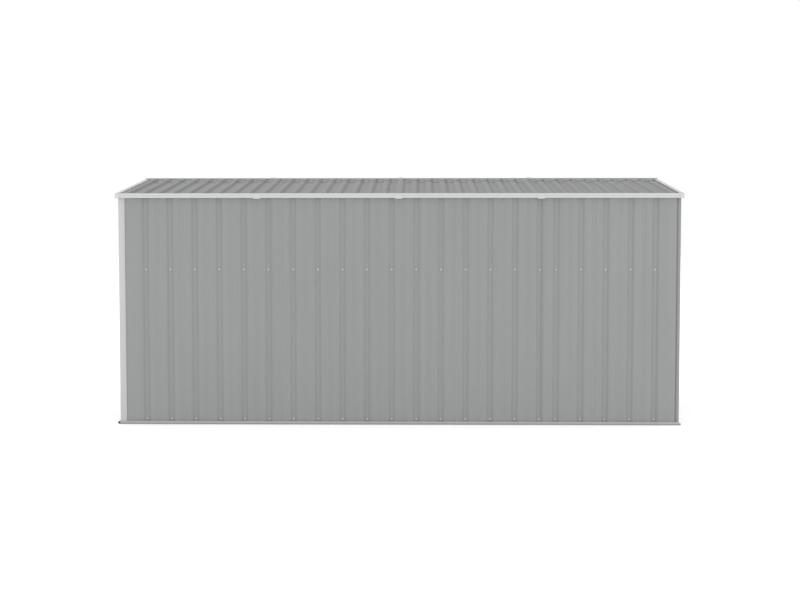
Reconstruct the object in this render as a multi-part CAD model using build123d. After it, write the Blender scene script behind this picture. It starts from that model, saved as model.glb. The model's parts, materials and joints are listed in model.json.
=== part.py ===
from build123d import *
import math
import os

os.makedirs("parts", exist_ok=True)

# Overall size in millimetres: length along X, width along Y, ground at Z = 0
roof_length = 4000.0
roof_width = 2050.0
eave_height = 1638.0
roof_rise = 145.0
eave_overhang = 30.0
verge_overhang = 16.0

# Sheet metal
sheet_thickness = 1.2
trim_thickness = 1.5
rail_thickness = 1.5

# Wall sheets: flat pans with a shallow band in the middle, and deep grooves between them
wall_groove_pitch = 174.3
wall_groove_mouth = 52.0
wall_groove_floor = 18.0
wall_groove_depth = 10.0
pan_band_width = 44.0
pan_band_flank = 5.0
pan_band_depth = 2.0
first_groove_inset = 190.0
last_groove_inset = 176.0
grooves_per_sheet = 6
lap_sheet_grooves = 5
lap_edge_to_groove = 88.0
side_lap = 16.0
wide_lap = 30.0
lap_margin = 3.0
lap_joggle = 6.0

# Roof sheets: even trapezoid ribs
roof_rib_pitch = 107.5
roof_rib_crown = 40.0
roof_rib_valley = 40.0
roof_rib_height = 12.0
ribs_per_roof_sheet = 9
roof_lap_edge = 6.0
roof_end_gap = 3.0
ridge_vent_gap = 12.0

# Base rails, with a skirt that slopes out from the foot of the wall to an upright lip
base_ledge_height = 21.0
base_lip_height = 13.0
base_skirt_reach = 12.0
base_web_height = 62.0
base_flange_width = 60.0

# Corner posts
door_post_width = 46.0
door_post_strip = 13.0
door_post_step = 1.5
back_post_width = 20.0
edge_groove_width = 14.0
edge_groove_floor = 4.0
edge_groove_depth = 5.0
edge_groove_inset = 10.5

# Frame inside
wall_plate_depth = 55.0
wall_plate_flange = 40.0
girt_height = 1103.0
girt_width = 40.0
girt_depth = 20.0
ridge_beam_width = 40.0
ridge_beam_depth = 80.0
rafter_width = 25.0
rafter_depth = 40.0
gable_rafter_depth = 60.0
purlin_width = 30.0
purlin_depth = 30.0
purlin_from_eave = 276.0
bay_count = 4

# Trims
eave_trim_height = 31.0
eave_trim_top = 12.0
trim_crease_depth = 2.0
trim_crease_height = 8.0
verge_trim_top = 28.0
verge_trim_height = 31.0
verge_seat_gap = 0.3
ridge_cap_width = 120.0
ridge_seat_gap = 0.3
ridge_roll_width = 40.0
ridge_roll_height = 8.0
ridge_roll_flank = 4.0
ridge_roll_lip = 4.0
ridge_stop_length = 15.0
corner_cap_length = 30.0
corner_cap_drop = 3.0
joiner_width = 50.0
joiner_drop = 6.0
ridge_joiner_width = 32.0
ridge_joiner_rise = 5.0
trim_butt_gap = 0.4

# End walls and door
end_rail_depth = 48.0
end_rail_upstand = 18.0
end_rail_lip = 14.0
doorway_width = 1000.0
leaf_overlap = 40.0
leaf_frame_width = 40.0
leaf_frame_depth = 18.0
leaf_top_gap = 38.0
leaf_clearance = 0.5
jamb_width = 40.0
header_drop = 83.0
header_web_drop = 63.0
header_return = 8.0
handle_length = 140.0
handle_bar = 12.0
handle_reach = 26.0
handle_height = 900.0
sill_bead_diameter = 14.0
sill_bead_height = 14.5
sill_plug_length = 4.0
sill_plug_rim = 2.0

# Places worked out from the sizes above
roof_half_length = roof_length / 2
roof_half_width = roof_width / 2
trim_half_length = roof_half_length - trim_thickness
wall_half_length = roof_half_length - verge_overhang
post_face_y = roof_half_width - eave_overhang
wall_face_y = post_face_y - trim_thickness
wall_face_x = wall_half_length - trim_thickness
wall_depth = wall_groove_depth + sheet_thickness
wall_back_y = wall_face_y - wall_depth
wall_back_x = wall_face_x - wall_depth
frame_face_x = wall_back_x - rail_thickness
frame_face_y = wall_back_y - rail_thickness
base_face_x = wall_half_length + base_skirt_reach
base_face_y = post_face_y + base_skirt_reach
slope = math.atan2(roof_rise, roof_half_width)
slope_length = math.hypot(roof_rise, roof_half_width)
above_ridge = 2 * (eave_height + roof_rise)
trim_bottom = eave_height - eave_trim_height
lap_crown_level = trim_thickness
crown_level = lap_crown_level + sheet_thickness
seat_level = crown_level + roof_rib_height + sheet_thickness
doorway_half = doorway_width / 2


def slope_z(y, level):
    """Height of the plane that lies this far under the roof's top line."""
    rise = (roof_half_width - abs(y)) * math.tan(slope)
    return eave_height + rise - level / math.cos(slope)


def offset_line(points, distance):
    """The same line moved sideways, to the left of its direction, with mitred corners."""
    moved = []
    last = len(points) - 1
    for i, point in enumerate(points):
        before = points[max(i - 1, 0)]
        after = points[min(i + 1, last)]
        first = direction(before, point) if i > 0 else direction(point, after)
        second = direction(point, after) if i < last else first
        normal = (-first[1] - second[1], first[0] + second[0])
        scale = 1 + first[0] * second[0] + first[1] * second[1]
        moved.append((point[0] + normal[0] * distance / scale, point[1] + normal[1] * distance / scale))
    return moved


def direction(start, end):
    length = math.hypot(end[0] - start[0], end[1] - start[1])
    return ((end[0] - start[0]) / length, (end[1] - start[1]) / length)


def bar_along_x(points, start, end):
    """A section drawn as (y, z), run from one X to another."""
    plane = Plane(origin=(start, 0, 0), x_dir=(0, 1, 0), z_dir=(1, 0, 0))
    return extrude(plane * make_face(Polyline(*points, close=True)), amount=end - start)


def bar_along_y(points, start, end):
    """A section drawn as (x, z), run from one Y to another."""
    plane = Plane(origin=(0, start, 0), x_dir=(1, 0, 0), z_dir=(0, -1, 0))
    return extrude(plane * make_face(Polyline(*points, close=True)), amount=start - end)


def rectangle(low, high):
    return [(low[0], low[1]), (high[0], low[1]), (high[0], high[1]), (low[0], high[1])]


def block(low, high):
    size = [high[i] - low[i] for i in range(3)]
    middle = [(high[i] + low[i]) / 2 for i in range(3)]
    return Pos(*middle) * Box(*size)


def folded_points(points, thickness):
    """Section of a folded sheet: the outer line, then back along its offset to the right."""
    return points + list(reversed(offset_line(points, -thickness)))


def long_side(half_x, half_y, top):
    """The part of the plan in front of the long side, cut on the mitre lines of its corners."""
    corners = [(-half_x, -half_y), (half_x, -half_y), (half_x - half_y, 0), (half_y - half_x, 0)]
    return extrude(make_face(Polyline(*corners, close=True)), amount=top)


def door_side(half_x, half_y, top):
    """The part of the plan at the door end, cut on the same mitre lines."""
    corners = [(-half_x, -half_y), (half_y - half_x, 0), (-half_x, half_y)]
    return extrude(make_face(Polyline(*corners, close=True)), amount=top)


def far(part):
    return mirror(part, about=Plane.XZ)


def back(part):
    return mirror(part, about=Plane.YZ)


def on_slope(part):
    """Places a piece drawn flat, with X along the eave and Y up the slope, on the near slope."""
    return Pos(0, -roof_half_width, eave_height) * Rot(math.degrees(slope), 0, 0) * part


def bar_up_slope(points, start, end):
    """A section drawn as (x, height), run up the near slope between two distances from the eave."""
    plane = Plane(origin=(0, start, 0), x_dir=(1, 0, 0), z_dir=(0, -1, 0))
    return on_slope(extrude(plane * make_face(Polyline(*points, close=True)), amount=start - end))


# Base rails: floor flange, lip, skirt, the ledge that the sheets stand on, and a web behind them

def base_section(face, post_face, back_face):
    line = [
        (-face + base_flange_width, 0),
        (-face, 0),
        (-face, base_lip_height),
        (-post_face, base_ledge_height),
        (-back_face, base_ledge_height),
        (-back_face, base_web_height),
    ]
    return folded_points(line, rail_thickness)


def long_base_rail():
    section = base_section(base_face_y, post_face_y, wall_back_y)
    rail = bar_along_x(section, -base_face_x, base_face_x)
    rail = rail & long_side(base_face_x, base_face_y, base_web_height)
    return rail - sill_rod(-base_face_y, base_face_y)


def short_base_rail():
    section = base_section(base_face_x, wall_half_length, wall_back_x)
    rail = bar_along_y(section, -base_face_y, base_face_y)
    return rail & door_side(base_face_x, base_face_y, base_web_height)


def door_sill():
    """Rail under the door end, with a bead along its skirt and no web in the doorway."""
    gap_low = (-wall_back_x - rail_thickness, -doorway_half, base_ledge_height)
    gap_high = (-frame_face_x + rail_thickness, doorway_half, base_web_height + rail_thickness)
    return short_base_rail() - block(gap_low, gap_high) + sill_rod(-base_face_y, base_face_y)


def sill_rod(start, end):
    """Round bar along the skirt of the sill."""
    centre_x = -roof_half_length + sill_bead_diameter / 2
    plane = Plane(origin=(centre_x, start, sill_bead_height), x_dir=(1, 0, 0), z_dir=(0, -1, 0))
    return extrude(plane * Circle(sill_bead_diameter / 2), amount=start - end)


def sill_plugs():
    """Domed plugs on the ends of the bead."""
    plug = sill_rod(-base_face_y - sill_plug_length, -base_face_y)
    plug = fillet(plug.edges().sort_by(Axis.Y)[0], sill_plug_rim)
    return [plug, far(plug)]


# Wall sheets, drawn as lines of (place along the wall, height above the pan)

def groove_points(centre):
    mouth = wall_groove_mouth / 2
    floor = wall_groove_floor / 2
    return [
        (centre - mouth, 0),
        (centre - floor, -wall_groove_depth),
        (centre + floor, -wall_groove_depth),
        (centre + mouth, 0),
    ]


def band_points(centre):
    half = pan_band_width / 2
    return [
        (centre - half, 0),
        (centre - half + pan_band_flank, -pan_band_depth),
        (centre + half - pan_band_flank, -pan_band_depth),
        (centre + half, 0),
    ]


def wall_line(start, end, grooves, lap):
    """Line of one sheet. A lap lifts its first strip onto the sheet beside it."""
    points = [(start, 0)]
    if lap > 0:
        points = [(start, sheet_thickness), (start + lap + lap_margin, sheet_thickness)]
        points.append((start + lap + lap_margin + lap_joggle, 0))
    shapes = [groove_points(centre) for centre in grooves]
    for left, right in zip(grooves, grooves[1:]):
        shapes.append(band_points((left + right) / 2))
    if lap == side_lap:
        shapes.append(band_points(grooves[0] - wall_groove_pitch / 2))
    for shape in sorted(shapes):
        points.extend(shape)
    points.append((end, 0))
    return points


def main_groove_centres(lap_edge):
    first = -wall_half_length + first_groove_inset
    count = int((lap_edge - first) / wall_groove_pitch) + 1
    return [first + i * wall_groove_pitch for i in range(count)]


def long_wall_lines():
    """Lines of the sheets of a long wall, from the door end to the back."""
    last_groove = wall_half_length - last_groove_inset
    lap_grooves = [last_groove - i * wall_groove_pitch for i in reversed(range(lap_sheet_grooves))]
    lap_edge = lap_grooves[0] - lap_edge_to_groove
    centres = main_groove_centres(lap_edge)
    edge = wall_groove_mouth / 2 + lap_margin
    lines = []
    start = -wall_back_x
    lap = 0
    for i in range(0, len(centres), grooves_per_sheet):
        grooves = centres[i:i + grooves_per_sheet]
        is_last = i + grooves_per_sheet >= len(centres)
        next_edge = lap_edge if is_last else grooves[-1] + edge
        end = next_edge + (wide_lap if is_last else side_lap)
        lines.append(wall_line(start, end, grooves, lap))
        start = next_edge
        lap = side_lap
    last_line = wall_line(lap_edge, wall_back_x, lap_grooves, wide_lap)
    lines.append(last_line[:-1] + edge_groove_points() + last_line[-1:])
    return lines


def edge_groove_points():
    """Narrow groove beside the back corner post."""
    centre = wall_back_x - edge_groove_inset
    half = edge_groove_width / 2
    floor = edge_groove_floor / 2
    return [
        (centre - half, 0),
        (centre - floor, -edge_groove_depth),
        (centre + floor, -edge_groove_depth),
        (centre + half, 0),
    ]


def long_wall_sheet(line):
    """The near wall's sheet: the line's height points out of the wall, towards -Y."""
    top = trim_bottom + trim_thickness + lap_margin
    section = [(x, -wall_face_y - z) for x, z in folded_points(line, sheet_thickness)]
    face = Pos(0, 0, base_ledge_height) * make_face(Polyline(*section, close=True))
    return extrude(face, amount=top - base_ledge_height)


def end_sheet(line, low, high):
    """A sheet of the door end: the line's height points towards -X."""
    section = [(-wall_face_x - z, y) for y, z in folded_points(line, sheet_thickness)]
    face = Pos(0, 0, low) * make_face(Polyline(*section, close=True))
    return extrude(face, amount=high - low)


def end_groove_centres(low, high):
    """Groove centres between two places across the end wall, spaced from its middle."""
    edge = wall_groove_mouth / 2 + lap_margin
    reach = int(wall_face_y / wall_groove_pitch)
    centres = [i * wall_groove_pitch for i in range(-reach, reach + 1)]
    return [centre for centre in centres if low + edge < centre < high - edge]


def end_wall_sheet(low, high, lap):
    centres = end_groove_centres(low + lap, high)
    line = wall_line(low, high, centres, 0)
    if lap > 0:
        line = wall_line(low, high, centres, side_lap)
    return end_sheet(line, base_ledge_height, trim_bottom)


def back_wall_sheets():
    """Two sheets that lap beside the middle groove."""
    edge = wall_groove_mouth / 2 + lap_margin
    first = end_wall_sheet(-wall_back_y, edge + side_lap, 0)
    second = end_wall_sheet(edge, wall_back_y, side_lap)
    return [back(first), back(second)]


def side_panels():
    panel = end_wall_sheet(-wall_back_y, -doorway_half - trim_thickness, 0)
    return [panel, far(panel)]


def gable_panel():
    """Ribbed triangle over the end wall, cut along the seat of the roof sheets."""
    bottom = trim_bottom + rail_thickness
    line = wall_line(-wall_back_y, wall_back_y, end_groove_centres(-wall_back_y, wall_back_y), 0)
    sheet = end_sheet(line, bottom, eave_height + roof_rise)
    outline = [
        (-wall_back_y, bottom),
        (wall_back_y, bottom),
        (wall_back_y, slope_z(wall_back_y, seat_level)),
        (0, slope_z(0, seat_level)),
        (-wall_back_y, slope_z(wall_back_y, seat_level)),
    ]
    return sheet & bar_along_x(outline, -wall_half_length, -frame_face_x)


# Corner posts: angles outside the sheets' edges

def corner_post(line):
    face = Pos(0, 0, base_ledge_height) * make_face(Polyline(*folded_points(line, trim_thickness), close=True))
    return extrude(face, amount=trim_bottom - base_ledge_height)


def door_corner_post():
    """Angle with a raised strip along its edge on the long wall."""
    outer_x = -wall_half_length
    outer_y = -post_face_y
    edge_x = outer_x + door_post_width
    strip_x = edge_x - door_post_strip
    return corner_post([
        (edge_x, outer_y - door_post_step),
        (strip_x, outer_y - door_post_step),
        (strip_x - door_post_step, outer_y),
        (outer_x, outer_y),
        (outer_x, outer_y + door_post_width),
    ])


def back_corner_post():
    outer_x = -wall_half_length
    outer_y = -post_face_y
    return back(corner_post([
        (outer_x + back_post_width, outer_y),
        (outer_x, outer_y),
        (outer_x, outer_y + back_post_width),
    ]))


# Frame inside the sheets

def wall_plate():
    """Folded plate along the top of a long wall, with a flange on the roof's slope."""
    flange_y = wall_back_y - wall_plate_flange
    bottom = slope_z(wall_back_y, seat_level) - wall_plate_depth
    line = [
        (-wall_back_y, bottom),
        (-wall_back_y, slope_z(wall_back_y, seat_level)),
        (-flange_y, slope_z(flange_y, seat_level)),
    ]
    return bar_along_x(folded_points(line, rail_thickness), -gable_rafter_x(), gable_rafter_x())


def gable_rafter_x():
    return frame_face_x - rafter_width


def channel_points(low, high, thickness):
    """Channel open to the side of the high first coordinate."""
    return [
        (high[0], low[1]),
        (low[0], low[1]),
        (low[0], high[1]),
        (high[0], high[1]),
        (high[0], high[1] - thickness),
        (low[0] + thickness, high[1] - thickness),
        (low[0] + thickness, low[1] + thickness),
        (high[0], low[1] + thickness),
    ]


def wall_girts():
    """Channels behind the screws at mid height, on the long walls and across the back."""
    low_z = girt_height - girt_width / 2
    high_z = girt_height + girt_width / 2
    inner_y = wall_back_y - girt_depth
    inner_x = wall_back_x - girt_depth
    long_section = channel_points((-wall_back_y, low_z), (-inner_y, high_z), rail_thickness)
    short_section = channel_points((-wall_back_x, low_z), (-inner_x, high_z), rail_thickness)
    near = bar_along_x(long_section, -frame_face_x, frame_face_x)
    across = back(bar_along_y(short_section, -inner_y, inner_y))
    return [near, far(near), across]


def ridge_beam():
    half = ridge_beam_width / 2
    bottom = slope_z(half, seat_level) - ridge_beam_depth
    line = [
        (-half, bottom),
        (-half, slope_z(half, seat_level)),
        (0, slope_z(0, seat_level)),
        (half, slope_z(half, seat_level)),
        (half, bottom),
    ]
    return bar_along_x(folded_points(line, rail_thickness), -gable_rafter_x(), gable_rafter_x())


def sloped_bar(section_low, section_high, y_start, y_end):
    """Channel up the near slope between two upright cuts. Its section is (x, depth under the roof)."""
    section = channel_points((section_low[0], -section_high[1]), (section_high[0], -section_low[1]), rail_thickness)
    plane = Plane(origin=(0, -roof_half_width, 0), x_dir=(1, 0, 0), z_dir=(0, -1, 0))
    bar = extrude(plane * make_face(Polyline(*section, close=True)), amount=-2 * roof_half_width)
    placed = on_slope(Pos(0, roof_half_width, 0) * bar)
    low = (section_low[0] - 1, y_start, 0)
    high = (section_high[0] + 1, y_end, above_ridge)
    return placed & block(low, high)


def bay_lines():
    bay = roof_length / bay_count
    return [-roof_half_length + bay * i for i in range(1, bay_count)]


def bay_spans():
    """Start and end of each length of trim, with a hair gap at the butt joints."""
    gap = trim_butt_gap / 2
    starts = [-trim_half_length] + [x + gap for x in bay_lines()]
    ends = [x - gap for x in bay_lines()] + [trim_half_length]
    return list(zip(starts, ends))


def rafters():
    """Rafters on the bay lines, from the wall plates to the ridge beam, under the purlins."""
    top = seat_level + purlin_depth
    result = []
    for x in bay_lines():
        low = (x - rafter_width / 2, top)
        high = (x + rafter_width / 2, top + rafter_depth)
        rafter = sloped_bar(low, high, -frame_face_y, -ridge_beam_width / 2)
        result.extend([rafter, far(rafter)])
    return result


def gable_rafters():
    """Rafters behind the gable panels, right under the roof sheets, cut level at their feet."""
    low = (-frame_face_x, seat_level)
    high = (-gable_rafter_x(), seat_level + gable_rafter_depth)
    rafter = sloped_bar(low, high, -wall_back_y, -trim_butt_gap / 2)
    rafter = rafter - block((-roof_length, -roof_width, 0), (0, 0, trim_bottom + rail_thickness))
    pair = [rafter, far(rafter)]
    return pair + [back(piece) for piece in pair]


def purlins():
    low = (purlin_from_eave - purlin_width / 2, -seat_level - purlin_depth)
    high = (purlin_from_eave + purlin_width / 2, -seat_level)
    purlin = on_slope(bar_along_x(channel_points(low, high, rail_thickness), -gable_rafter_x(), gable_rafter_x()))
    return [purlin, far(purlin)]


# Roof sheets

def rib_points(centre):
    crown = roof_rib_crown / 2
    foot = (roof_rib_pitch - roof_rib_valley) / 2
    return [
        (centre - foot, -roof_rib_height),
        (centre - crown, 0),
        (centre + crown, 0),
        (centre + foot, -roof_rib_height),
    ]


def roof_rib_centres():
    foot = (roof_rib_pitch - roof_rib_valley) / 2
    reach = int((trim_half_length - verge_trim_top - foot) / roof_rib_pitch)
    return [i * roof_rib_pitch for i in range(-reach, reach + 1)]


def roof_sheet_lines():
    """Lines of the sheets of one slope. Each after the first lies over its neighbour's last rib."""
    foot = (roof_rib_pitch - roof_rib_valley) / 2
    edge = foot + roof_lap_edge
    outer = trim_half_length - trim_thickness - roof_end_gap
    centres = roof_rib_centres()
    starts = list(range(0, len(centres) - 1, ribs_per_roof_sheet))
    lines = []
    for number, first in enumerate(starts):
        is_last = number == len(starts) - 1
        ribs = centres[first:] if is_last else centres[first:first + ribs_per_roof_sheet + 1]
        if number == 0:
            line = [(-outer, -roof_rib_height)]
        else:
            lapped = [(ribs[0] - edge, -roof_rib_height), *rib_points(ribs[0])]
            lapped.append((ribs[0] + edge + lap_margin, -roof_rib_height))
            line = offset_line(lapped, sheet_thickness)
            line.append((ribs[0] + edge + lap_margin + lap_joggle, -roof_rib_height))
            ribs = ribs[1:]
        for centre in ribs:
            line.extend(rib_points(centre))
        end = outer if is_last else ribs[-1] + edge
        line.append((end, -roof_rib_height))
        lines.append(line)
    return lines


def roof_sheet(line):
    """A sheet on the near slope, from inside the eave trim to just short of the ridge."""
    start = trim_thickness + trim_crease_depth + roof_end_gap
    section = [(x, z - crown_level) for x, z in folded_points(line, sheet_thickness)]
    return bar_up_slope(section, start, slope_length - ridge_vent_gap)


# Trims

def eave_trim_line():
    """Cap over the sheet ends, creased at mid height, with a return to the wall."""
    face = -roof_half_width
    middle = eave_height - eave_trim_height / 2
    half = trim_crease_height / 2
    top_y = roof_half_width - eave_trim_top
    return [
        (-wall_face_y - trim_thickness, trim_bottom),
        (face, trim_bottom),
        (face, middle - half),
        (face + trim_crease_depth, middle),
        (face, middle + half),
        (face, eave_height),
        (-top_y, slope_z(top_y, 0)),
    ]


def eave_trims():
    """One length a bay, with mitred ends at the corners of the roof."""
    mitre = long_side(trim_half_length, roof_half_width, above_ridge)
    section = folded_points(eave_trim_line(), trim_thickness)
    return [bar_along_x(section, start, end) & mitre for start, end in bay_spans()]


def eave_joiners():
    """Straps round the joints between the eave trims, hanging a little below them."""
    face = -roof_half_width
    line = [
        (-strap_return_y(), trim_bottom - joiner_drop),
        (face - trim_thickness, trim_bottom - joiner_drop),
        (face - trim_thickness, eave_height - joiner_drop),
    ]
    section = folded_points(line, trim_thickness)
    result = []
    for x in bay_lines():
        strap = bar_along_x(section, x - joiner_width / 2, x + joiner_width / 2)
        result.extend([strap, far(strap)])
    return result


def strap_return_y():
    return roof_half_width - eave_overhang / 2


def verge_trims():
    """Caps over the ends of the roof, one a slope, turned down inside and notched under the ridge roll."""
    outer = -trim_half_length
    inner = -wall_half_length
    top = outer + verge_trim_top
    line = [
        (top, verge_seat_gap - crown_level - roof_rib_height),
        (top, 0),
        (outer, 0),
        (outer, -verge_trim_height),
        (inner, -verge_trim_height),
    ]
    section = line + list(reversed(offset_line(line, trim_thickness)))
    plane = Plane(origin=(0, -roof_half_width, 0), x_dir=(1, 0, 0), z_dir=(0, -1, 0))
    bar = extrude(plane * make_face(Polyline(*section, close=True)), amount=-2 * roof_half_width)
    half = block((-roof_length, -roof_width, 0), (0, 0, above_ridge))
    trim = on_slope(Pos(0, roof_half_width / 2, 0) * bar) & half
    trim = trim & door_side(trim_half_length, roof_half_width, above_ridge)
    under_roll = block((-roof_length, -roll_reach(), 0), (0, 0, above_ridge)) & above_cap_seat()
    trim = trim - under_roll
    return [trim, far(trim)]


def corner_caps():
    """Folded pieces outside the corners of the roof, a little deeper than the trims."""
    outer_x = -roof_half_length
    outer_y = -roof_half_width - trim_thickness
    line = [
        (outer_x + corner_cap_length, outer_y),
        (outer_x, outer_y),
        (outer_x, outer_y + corner_cap_length),
    ]
    section = make_face(Polyline(*folded_points(line, trim_thickness), close=True))
    height = eave_trim_height + corner_cap_drop
    cap = extrude(Pos(0, 0, trim_bottom - corner_cap_drop) * section, amount=height)
    caps = [cap, far(cap)]
    return caps + [back(piece) for piece in caps]


def roll_reach():
    return ridge_roll_width / 2 + ridge_roll_lip


def above_cap_seat():
    """Everything above the underside of the ridge cap on the near slope."""
    outline = [
        (-roof_half_width, slope_z(roof_half_width, lap_crown_level)),
        (0, slope_z(0, lap_crown_level)),
        (0, above_ridge),
        (-roof_half_width, above_ridge),
    ]
    return bar_along_x(outline, -roof_length, roof_length)


def ridge_roll_line(raised):
    """Flat-topped roll along the ridge with a lip on each slope, lifted by a given height."""
    reach = roll_reach()
    foot = ridge_roll_width / 2
    top = foot - ridge_roll_flank
    top_z = slope_z(foot, 0) + ridge_roll_height + raised
    return [
        (-reach, slope_z(reach, -raised)),
        (-foot, slope_z(foot, -raised)),
        (-top, top_z),
        (top, top_z),
        (foot, slope_z(foot, -raised)),
        (reach, slope_z(reach, -raised)),
    ]


def ridge_flange():
    """Ribbed flange of the ridge cap on the near slope. Sloping stops close its valleys at the roll."""
    end = trim_half_length - verge_trim_top - ridge_seat_gap
    line = [(-end, -roof_rib_height)]
    for centre in roof_rib_centres():
        line.extend(rib_points(centre))
    line.append((end, -roof_rib_height))
    line = [(x, z - crown_level) for x, z in line]
    under = offset_line(line, sheet_thickness + ridge_seat_gap)
    over = offset_line(under, trim_thickness - ridge_seat_gap)
    low = slope_length - ridge_cap_width
    high = slope_length - roll_reach() / math.cos(slope)
    flange = bar_up_slope(under + list(reversed(over)), low, high + trim_thickness)
    stop_line = [
        (high - ridge_stop_length, -crown_level - roof_rib_height),
        (high + trim_thickness, -ridge_seat_gap),
    ]
    stops = on_slope(bar_along_x(folded_points(stop_line, trim_thickness), -end, end))
    valleys = under + [(end, -ridge_seat_gap), (-end, -ridge_seat_gap)]
    return flange + (stops & bar_up_slope(valleys, low, high + 2 * trim_thickness))


def ridge_caps():
    roll = folded_points(ridge_roll_line(0), trim_thickness)
    flange = ridge_flange()
    cap = bar_along_x(roll, -trim_half_length, trim_half_length) + flange + far(flange)
    bays = []
    for start, end in bay_spans():
        bays.append(cap & block((start, -roof_half_width, 0), (end, roof_half_width, above_ridge)))
    return bays


def ridge_joiners():
    """Raised saddles over the joints between the ridge caps."""
    section = ridge_roll_line(ridge_joiner_rise) + list(reversed(ridge_roll_line(0)))
    half = ridge_joiner_width / 2
    return [bar_along_x(section, x - half, x + half) for x in bay_lines()]


# End rails, door header, jambs, leaves and handles

def end_rail():
    """Rail across the back: a web behind both sheets, a ledge between them and a lip outside."""
    low_z = trim_bottom - end_rail_depth
    high_z = trim_bottom + rail_thickness + end_rail_upstand
    web = rectangle((-wall_back_x, low_z), (-frame_face_x, high_z))
    lip_face = -wall_half_length - rail_thickness
    ledge = rectangle((lip_face, trim_bottom), (-wall_back_x, trim_bottom + rail_thickness))
    lip = rectangle((lip_face, trim_bottom - end_rail_lip), (-wall_half_length, trim_bottom))
    parts = [bar_along_y(section, -wall_back_y, wall_back_y) for section in (web, ledge, lip)]
    return parts[0] + parts[1] + parts[2]


def door_header():
    """Header over the doorway: the end rail's web and ledge, a deep cover and the leaves' track."""
    low_z = trim_bottom - header_web_drop
    high_z = trim_bottom + rail_thickness + end_rail_upstand
    cover_face = -wall_half_length - trim_thickness
    cover_low = trim_bottom - header_drop
    track_face = -frame_face_x + 2 * leaf_clearance + leaf_frame_depth
    ledge_top = trim_bottom + rail_thickness
    sections = [
        rectangle((-wall_back_x, low_z), (-frame_face_x, high_z)),
        rectangle((cover_face, trim_bottom), (track_face + rail_thickness, ledge_top)),
        rectangle((cover_face, cover_low), (-wall_half_length, trim_bottom)),
        rectangle((track_face, low_z), (track_face + rail_thickness, trim_bottom)),
    ]
    parts = [bar_along_y(section, -wall_back_y, wall_back_y) for section in sections]
    lip = rectangle((-wall_half_length, cover_low), (-wall_half_length + header_return, cover_low + trim_thickness))
    parts.append(bar_along_y(lip, -doorway_half + trim_thickness, doorway_half - trim_thickness))
    header = parts[0]
    for piece in parts[1:]:
        header = header + piece
    return header


def door_jambs():
    """Angles that cover the side panels' edges at the doorway."""
    edge = -doorway_half
    line = [
        (-frame_face_x - rail_thickness, edge),
        (-wall_half_length, edge),
        (-wall_half_length, edge - jamb_width),
    ]
    section = line + list(reversed(offset_line(line, trim_thickness)))
    face = Pos(0, 0, base_ledge_height) * make_face(Polyline(*section, close=True))
    jamb = extrude(face, amount=trim_bottom - base_ledge_height)
    return [jamb, far(jamb)]


def leaf_front():
    return -frame_face_x + leaf_clearance


def door_leaf():
    """Ribbed sheet in a folded frame. It stands on the sill's flange behind the side panels."""
    low_y = -doorway_half - leaf_overlap
    high_y = -leaf_clearance / 2
    low_z = rail_thickness
    high_z = trim_bottom - leaf_top_gap
    front = leaf_front()
    rear = front + leaf_frame_depth
    frame = block((front, low_y, low_z), (rear, high_y, high_z))
    window_low = (front - 1, low_y + leaf_frame_width, low_z + leaf_frame_width)
    window_high = (rear + 1, high_y - leaf_frame_width, high_z - leaf_frame_width)
    frame = frame - block(window_low, window_high)
    inner_low = low_y + leaf_frame_width
    inner_high = high_y - leaf_frame_width
    middle = (inner_low + inner_high) / 2
    count = int((inner_high - inner_low) / wall_groove_pitch)
    first = middle - (count - 1) * wall_groove_pitch / 2
    grooves = [first + i * wall_groove_pitch for i in range(count)]
    line = wall_line(inner_low, inner_high, grooves, 0)
    section = [(front + sheet_thickness - z, y) for y, z in folded_points(line, sheet_thickness)]
    face = Pos(0, 0, window_low[2]) * make_face(Polyline(*section, close=True))
    return frame + extrude(face, amount=window_high[2] - window_low[2])


def door_handles():
    """Bowed pulls on the meeting stiles of the leaves."""
    front = leaf_front()
    outer = front - handle_reach
    high_z = handle_height + handle_length
    outline = [
        (front, handle_height),
        (outer, handle_height + handle_bar),
        (outer, high_z - handle_bar),
        (front, high_z),
    ]
    inner = [
        (front, high_z - 2 * handle_bar),
        (outer + handle_bar, high_z - 2 * handle_bar),
        (outer + handle_bar, handle_height + 2 * handle_bar),
        (front, handle_height + 2 * handle_bar),
    ]
    centre = -leaf_frame_width / 2
    pull = bar_along_y(outline + inner, centre - handle_bar, centre + handle_bar)
    return [pull, far(pull)]


def save(name, parts):
    shape = parts[0] if len(parts) == 1 else Compound(children=list(parts))
    export_step(shape, f"parts/{name}.step")


def save_base():
    rail = long_base_rail()
    save("long_base_rails", [rail, far(rail)])
    save("back_base_rail", [back(short_base_rail())])
    save("door_sill", [door_sill()])
    save("sill_plugs", sill_plugs())


def save_walls():
    for number, line in enumerate(long_wall_lines(), start=1):
        sheet = long_wall_sheet(line)
        save(f"near_wall_sheet_{number}", [sheet])
        save(f"far_wall_sheet_{number}", [far(sheet)])
    for number, sheet in enumerate(back_wall_sheets(), start=1):
        save(f"back_wall_sheet_{number}", [sheet])
    save("door_side_panels", side_panels())
    gable = gable_panel()
    save("gable_panels", [gable, back(gable)])
    post = door_corner_post()
    save("door_corner_posts", [post, far(post)])
    post = back_corner_post()
    save("back_corner_posts", [post, far(post)])


def save_frame():
    plate = wall_plate()
    save("wall_plates", [plate, far(plate)])
    save("wall_girts", wall_girts())
    save("ridge_beam", [ridge_beam()])
    save("rafters", rafters())
    save("gable_rafters", gable_rafters())
    save("purlins", purlins())
    save("back_end_rail", [back(end_rail())])


def save_door():
    leaf = door_leaf()
    save("door_header", [door_header()])
    save("door_jambs", door_jambs())
    save("near_door_leaf", [leaf])
    save("far_door_leaf", [far(leaf)])
    save("door_handles", door_handles())


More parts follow.
